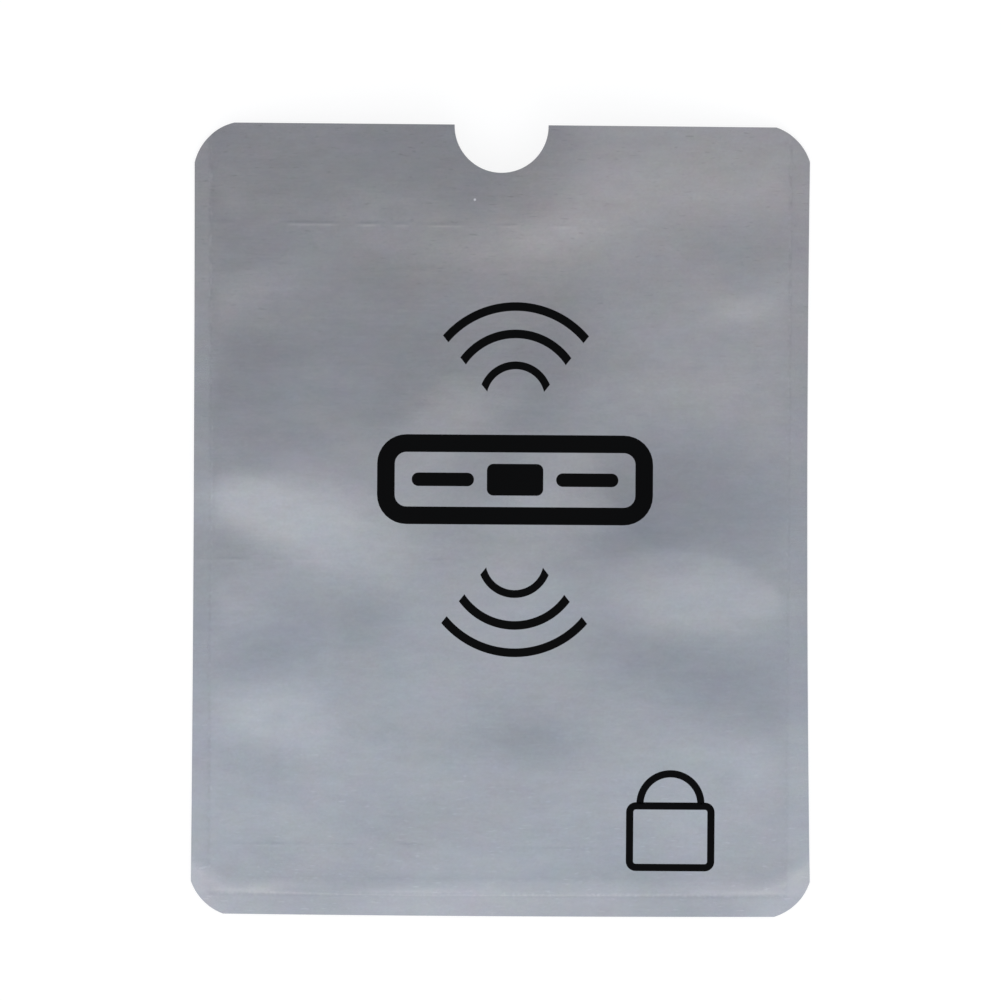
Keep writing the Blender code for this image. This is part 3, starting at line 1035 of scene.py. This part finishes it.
def film_parts(nodes, along):
    """All that makes the film lighter or darker, by name: its noises, scratches, weld marks and painted
    highlights.
    """
    parts = {name: nodes.noise(*row) for name, row in FILM_NOISES.items()}
    change = nodes.math("MULTIPLY_ADD", along, SHORT_SCRATCHES_TO_MOUTH, SHORT_SCRATCHES)
    scratches = nodes.ramp(parts["short_scratch"], *SHORT_SCRATCH_LEVELS)
    parts["short_scratches"] = nodes.math("MULTIPLY", scratches, change)
    parts["long_scratches"] = nodes.ramp(parts["long_scratch"], *LONG_SCRATCH_LEVELS)
    axes = nodes.axes()
    wander = nodes.stretch(parts["weld_speckle"], -WELD_WANDER, WELD_WANDER)
    parts["pressed"], parts["flecks"], parts["dashes"] = weld_marks_and_painted_edge_light(nodes, axes, parts, wander)
    # The painted highlights over the bottom seal and along the low sides
    parts["rims"] = painted_rim_highlights(nodes, axes, wander)
    parts["nick"] = nick(nodes, axes)
    return parts


def film_hue(nodes, along, parts):
    """The film's colour before its tone: cooler towards the bottom seal, in patches."""
    lower = nodes.math("SUBTRACT", TINT_MIDDLE / TINT_SPAN, along)
    coolness = nodes.math("ADD", nodes.stretch(parts["tint"], *TINT_PATCHES), lower)
    coolness = nodes.math("MINIMUM", coolness, 1.0)
    coolness = nodes.math("MULTIPLY_ADD", parts["rims"], RIM_HIGHLIGHT_COOLNESS, coolness)
    colour = nodes.blend(coolness, (*FILM_COLOUR_PLAIN, 1), (*FILM_COLOUR_COOL, 1))
    hues = nodes.noise(*HUE_NOISE, output="Color")
    hues = {0: hues, 1: (HUE_SHARE,) * 3, 2: (1 - HUE_SHARE / 2,) * 3}
    hues = nodes.add("ShaderNodeVectorMath", hues, operation="MULTIPLY_ADD").outputs[0]
    return nodes.add("ShaderNodeVectorMath", {0: colour, 1: hues}, operation="MULTIPLY").outputs[0]


def cover_film_material():
    """Brushed silver film: fine rolling streaks across it, soft haze, and a slight blue in places."""
    material, nodes, shader = plain_material("silver film", FILM_COLOUR, roughness=0.25, metallic=1.0)
    along = nodes.place(TINT_SPAN, TINT_SPAN, TINT_SPAN)
    along = nodes.add("ShaderNodeSeparateXYZ", {0: along}).outputs["Y"]
    parts = film_parts(nodes, along)
    streaks = nodes.math("MULTIPLY_ADD", along, STREAKS_TO_MOUTH, STREAKS)
    tone = nodes.math("MULTIPLY_ADD", nodes.math("SUBTRACT", parts["fine"], 0.5), streaks, FILM_TONE)
    tone = nodes.weighted(tone, parts, TONE_SHARES)
    colour = nodes.scaled(film_hue(nodes, along, parts), tone)
    nodes.tree.links.new(colour, shader.inputs["Base Color"])
    rough = nodes.weighted(FILM_ROUGHNESS, parts, ROUGHNESS_SHARES)
    nodes.tree.links.new(rough, shader.inputs["Roughness"])
    relief = nodes.math("MULTIPLY_ADD", parts["grain"], RELIEF_GRAIN, parts["fine"])
    relief = {"Strength": RELIEF_STRENGTH, "Distance": RELIEF_DEPTH, "Height": relief}
    nodes.tree.links.new(nodes.add("ShaderNodeBump", relief).outputs["Normal"], shader.inputs["Normal"])
    return material


def shield_foil_material():
    """Bright aluminium foil, seen only where the plies are cut."""
    material, nodes, shader = plain_material("bright foil", FOIL_COLOUR, roughness=0.22, metallic=1.0)
    rough = nodes.stretch(nodes.noise(*FOIL_NOISE), *FOIL_ROUGHNESS)
    nodes.tree.links.new(rough, shader.inputs["Roughness"])
    return material


def liner_material():
    """The milky sealing layer, which has the foil's silver behind it."""
    material, nodes, shader = plain_material("milky liner", LINER_COLOUR, roughness=0.45, metallic=0.35)
    cloud = nodes.noise(*LINER_NOISE)
    colour = nodes.scaled(LINER_COLOUR, nodes.stretch(cloud, *LINER_TONE))
    nodes.tree.links.new(colour, shader.inputs["Base Color"])
    nodes.tree.links.new(nodes.stretch(cloud, *LINER_ROUGHNESS), shader.inputs["Roughness"])
    return material


def seal_material():
    """The melted liners inside a seal, seen only as a thin line at the edge."""
    material, nodes, shader = plain_material("melted seal", SEAL_COLOUR, roughness=0.5, metallic=0.0)
    rough = nodes.stretch(nodes.noise(*SEAL_NOISE), *SEAL_ROUGHNESS)
    nodes.tree.links.new(rough, shader.inputs["Roughness"])
    return material


def ink_material():
    """Dense black ink, a little matt, through which the film's streaks just show."""
    material, nodes, shader = plain_material(
        "black ink", INK_COLOUR, roughness=0.42, metallic=0.0, specular=0.06
    )
    rough = nodes.stretch(nodes.noise(*FILM_NOISES["fine"]), *INK_ROUGHNESS)
    nodes.tree.links.new(rough, shader.inputs["Roughness"])
    return material


def make_floor():
    """A white table that shows white to the camera and keeps a trace of the sleeve's shadow."""
    bpy.ops.mesh.primitive_plane_add(size=TABLE_SIZE, location=(0, 0, TABLE_Z))
    floor = bpy.context.active_object
    floor.name = "floor"
    material = bpy.data.materials.new("table")
    nodes = Nodes(material)
    seen = nodes.add("ShaderNodeLightPath").outputs["Is Camera Ray"]
    shade = nodes.stretch(seen, TABLE_SHADE, TABLE_SHADE_SEEN)
    tint = nodes.add("ShaderNodeCombineXYZ", {0: shade, 1: shade, 2: shade}).outputs[0]
    diffuse = nodes.add("ShaderNodeBsdfDiffuse", {"Color": tint})
    glow = nodes.add("ShaderNodeEmission", {"Strength": nodes.math("MULTIPLY", seen, TABLE_GLOW)})
    both = nodes.add("ShaderNodeAddShader", {0: diffuse.outputs[0], 1: glow.outputs[0]})
    nodes.add("ShaderNodeOutputMaterial", {"Surface": both.outputs[0]})
    floor.data.materials.append(material)


def make_world():
    """A soft tent of light, greyer overhead, in which the film shows its slope. White to the camera."""
    world = bpy.data.worlds.new("studio")
    bpy.context.scene.world = world
    nodes = Nodes(world)
    direction = nodes.add("ShaderNodeTexCoord").outputs["Generated"]
    axes = nodes.add("ShaderNodeSeparateXYZ", {0: direction}).outputs
    ramp = nodes.add("ShaderNodeValToRGB", {"Fac": nodes.math("MULTIPLY_ADD", axes["Y"], 0.5, 0.5)})
    elements = ramp.color_ramp.elements
    while len(elements) < len(TENT):
        elements.new(0.5)
    for element, (degrees, colour) in zip(elements, TENT):
        element.position = 0.5 - 0.5 * math.sin(math.radians(degrees))
        element.color = (*colour, 1)
    low = nodes.ramp(axes["Z"], TENT_SIDE_Z, 0.0)
    tent_colour = nodes.blend(low, ramp.outputs["Color"], (*TENT_SIDE, 1))
    tent = nodes.add("ShaderNodeBackground", {"Color": tent_colour, "Strength": 1.0})
    white = nodes.add("ShaderNodeBackground", {"Color": (1, 1, 1, 1), "Strength": 1.0})
    seen = nodes.add("ShaderNodeLightPath").outputs["Is Camera Ray"]
    both = nodes.add("ShaderNodeMixShader", {0: seen, 1: tent.outputs[0], 2: white.outputs[0]})
    nodes.add("ShaderNodeOutputWorld", {"Surface": both.outputs[0]})


def make_softboxes():
    """The softboxes, which only show by their light."""
    for name, (place, tip, turn, size, power, colour) in SOFTBOXES.items():
        light = bpy.data.lights.new(name, "AREA")
        light.shape = "RECTANGLE"
        light.size, light.size_y = size
        light.energy = power
        light.color = colour
        softbox = add_object(name, light)
        softbox.location = place
        softbox.rotation_euler = (math.radians(tip), 0, math.radians(turn))
        softbox.visible_camera = False


def make_camera():
    """The camera, straight above and turned slightly."""
    camera = bpy.data.cameras.new("camera")
    camera.sensor_width = SENSOR
    camera.lens = SENSOR * CAMERA_HEIGHT / PHOTO_SPAN
    camera.clip_start = CAMERA_NEAR
    camera.clip_end = CAMERA_FAR
    view = add_object("camera", camera)
    view.location = (0, CAMERA_Y, CAMERA_HEIGHT)
    view.rotation_euler = (0, 0, CAMERA_ROLL)
    bpy.context.scene.camera = view


def build_scene():
    """The dressed sleeve in its studio."""
    looks = {
        "cover_film": cover_film_material(),
        "shield_foil": shield_foil_material(),
        "liner": liner_material(),
        "seal": seal_material(),
    }
    make_walls(looks)
    make_seals(looks)
    ink = ink_material()
    make_waves("upper_wave", UPPER_WAVES_Y, 1, ink)
    make_waves("lower_wave", LOWER_WAVES_Y, -1, ink)
    make_tag(ink)
    make_lock(ink)
    make_floor()
    make_world()
    make_softboxes()
    make_camera()
    bpy.context.scene.view_settings.view_transform = "Standard"


build_scene()
